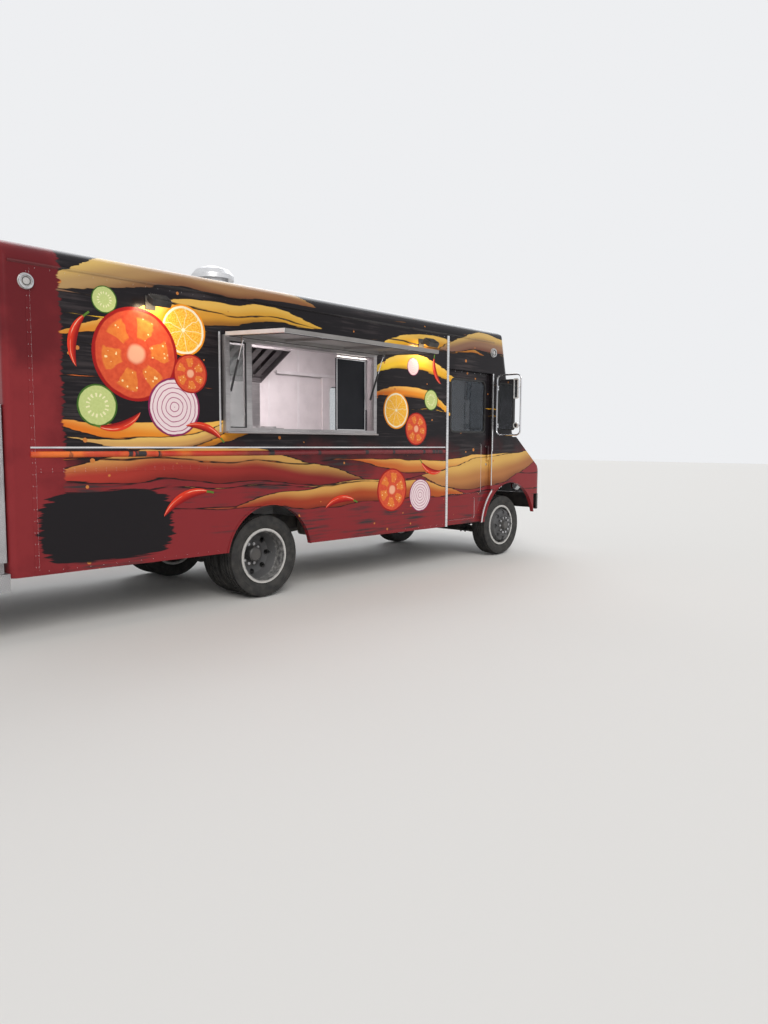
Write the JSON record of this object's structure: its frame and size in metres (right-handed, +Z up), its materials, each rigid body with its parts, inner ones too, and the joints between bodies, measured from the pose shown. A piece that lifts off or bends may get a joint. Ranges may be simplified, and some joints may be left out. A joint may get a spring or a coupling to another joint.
{
  "type": "food truck",
  "caption": "Step van fitted out as a food truck, with a serving window under an open hatch, sliding cab doors, a kitchen inside and a gas locker on its rear deck.",
  "frame": {"origin": "on the ground, at the middle of the parked truck's footprint, with the hatch open and the mirrors out", "axes": "+X forward along the truck, +Y to the driver's side, +Z up; the serving window is on the kerb side, at -Y"},
  "size_m": [7.809, 3.5566, 3.49],
  "materials": {
    "painted_skin": "gloss",
    "underbody": "satin",
    "cast": "rough",
    "exhaust_steel": "dull",
    "floor_plate": "tread plate",
    "bright_trim": "satin",
    "hatch_skin": "painted white inside",
    "bumper_black": "satin",
    "black_moulding": "matte",
    "lamp_body": "clear",
    "marker_lens": "gloss",
    "glazing": "clear",
    "chrome_tube": "polished",
    "strut_black": "satin",
    "strut_chrome": "polished",
    "stainless": "brushed",
    "board": "satin",
    "seat_cloth": "woven",
    "tyre": "matte",
    "wheel_steel": "satin"
  },
  "bodies": {
    "truck": {"side_wall_right": "painted_skin", "side_wall_left": "painted_skin", "rear_wall": "painted_skin", "roof": "painted_skin", "cab_front": "painted_skin", "nose": "painted_skin", "frame_rails": "underbody", "front_axle": "underbody", "rear_axle": "underbody", "leaf_springs": "underbody", "drive_shaft": "underbody", "fuel_tank": "underbody", "engine": "cast", "exhaust": "exhaust_steel", "floor_deck": "floor_plate", "rear_deck": "floor_plate", "gas_locker": "floor_plate", "side_trim": "bright_trim", "window_frame": "bright_trim", "door_tracks": "bright_trim", "roof_fan": "bright_trim", "front_bumper": "bumper_black", "seat_base": "bumper_black", "dash": "black_moulding", "engine_cover": "black_moulding", "steering_wheel": "black_moulding", "grille": "black_moulding", "head_lamps": "lamp_body", "flood_lamps": "lamp_body", "marker_lamps": "marker_lens", "fixed_glass": "glazing", "mirrors": "chrome_tube", "service_counter": "stainless", "cook_line": "stainless", "range_hood": "stainless", "refrigerator": "stainless", "menu_board": "board", "seat_cushions": "seat_cloth"},
    "hatch": {"hatch": "hatch_skin"},
    "strut_tubes": {"strut_tubes": "strut_black"},
    "strut_rods": {"strut_rods": "strut_chrome"},
    "door_right": {"door_right": "painted_skin", "door_glass_right": "glazing"},
    "door_left": {"door_left": "painted_skin", "door_glass_left": "glazing"},
    "rear_door": {"rear_door": "painted_skin", "rear_door_glass": "glazing"},
    "locker_door": {"locker_door": "floor_plate"},
    "bonnet": {"bonnet": "painted_skin"},
    "knuckle_right": {"knuckle_right": "underbody"},
    "knuckle_left": {"knuckle_left": "underbody"},
    "track_rod": {"track_rod": "underbody"},
    "front_wheel_right": {"front_wheel_right": "wheel_steel", "front_tyre_right": "tyre"},
    "front_wheel_left": {"front_wheel_left": "wheel_steel", "front_tyre_left": "tyre"},
    "rear_wheels_right": {"rear_wheels_right": "wheel_steel", "rear_tyres_right": "tyre"},
    "rear_wheels_left": {"rear_wheels_left": "wheel_steel", "rear_tyres_left": "tyre"}
  },
  "joints": [
    {"name": "hatch_swing", "type": "hinge", "parent": "truck", "child": "hatch", "pos_m": [-1.0405, -0.95269, 2.43], "axis": [1, 0, 0], "range_deg": [0, 86.6]},
    {"name": "strut_swing", "type": "hinge", "parent": "truck", "child": "strut_tubes", "pos_m": [-1.0405, -0.91769, 1.96], "axis": [1, 0, 0], "range_deg": [-24, 0.5]},
    {"name": "strut_stroke", "type": "slide", "parent": "strut_tubes", "child": "strut_rods", "axis": [0, -0.3949, 0.9187], "range_m": [-0.145, 0.001]},
    {"name": "door_slide_right", "type": "slide", "parent": "truck", "child": "door_right", "axis": [-1, 0, 0], "range_m": [0, 0.8]},
    {"name": "door_slide_left", "type": "slide", "parent": "truck", "child": "door_left", "axis": [-1, 0, 0], "range_m": [0, 0.8]},
    {"name": "rear_door_swing", "type": "hinge", "parent": "truck", "child": "rear_door", "pos_m": [-3.4405, 1.12931, 1.6], "axis": [0, 0, -1], "range_deg": [0, 110]},
    {"name": "locker_swing", "type": "hinge", "parent": "truck", "child": "locker_door", "pos_m": [-3.8885, -0.81969, 1.2], "axis": [0, 0, 1], "range_deg": [0, 110]},
    {"name": "bonnet_swing", "type": "hinge", "parent": "truck", "child": "bonnet", "pos_m": [3.1245, 0.24731, 1.579], "axis": [0, -1, 0], "range_deg": [0, 60]},
    {"name": "steer_left", "type": "hinge", "parent": "truck", "child": "knuckle_left", "pos_m": [2.9895, 1.00231, 0.406], "axis": [0, 0, 1], "range_deg": [-35, 35]},
    {"name": "steer_right", "type": "hinge", "parent": "truck", "child": "knuckle_right", "pos_m": [2.9895, -0.50769, 0.406], "axis": [0, 0, 1], "range_deg": [-36, 36]},
    {"name": "track_rod_ball", "type": "hinge", "parent": "knuckle_left", "child": "track_rod", "pos_m": [2.8195, 1.00231, 0.325], "axis": [0, 0, 1], "range_deg": [-36, 36]},
    {"name": "front_roll_right", "type": "hinge", "parent": "knuckle_right", "child": "front_wheel_right", "pos_m": [2.9895, -0.65269, 0.406], "axis": [0, 1, 0], "continuous": true},
    {"name": "front_roll_left", "type": "hinge", "parent": "knuckle_left", "child": "front_wheel_left", "pos_m": [2.9895, 1.14731, 0.406], "axis": [0, 1, 0], "continuous": true},
    {"name": "rear_roll_right", "type": "hinge", "parent": "truck", "child": "rear_wheels_right", "pos_m": [-1.0405, -0.62269, 0.406], "axis": [0, 1, 0], "continuous": true},
    {"name": "rear_roll_left", "type": "hinge", "parent": "truck", "child": "rear_wheels_left", "pos_m": [-1.0405, 1.11731, 0.406], "axis": [0, 1, 0], "continuous": true}
  ],
  "couplings": [
    {"joint": "strut_swing", "follows": "hatch_swing", "ratio": -0.2684},
    {"joint": "strut_stroke", "follows": "hatch_swing", "m_per_rad": -0.09503},
    {"joint": "steer_right", "follows": "steer_left", "ratio": 1},
    {"joint": "track_rod_ball", "follows": "steer_left", "ratio": -1}
  ]
}
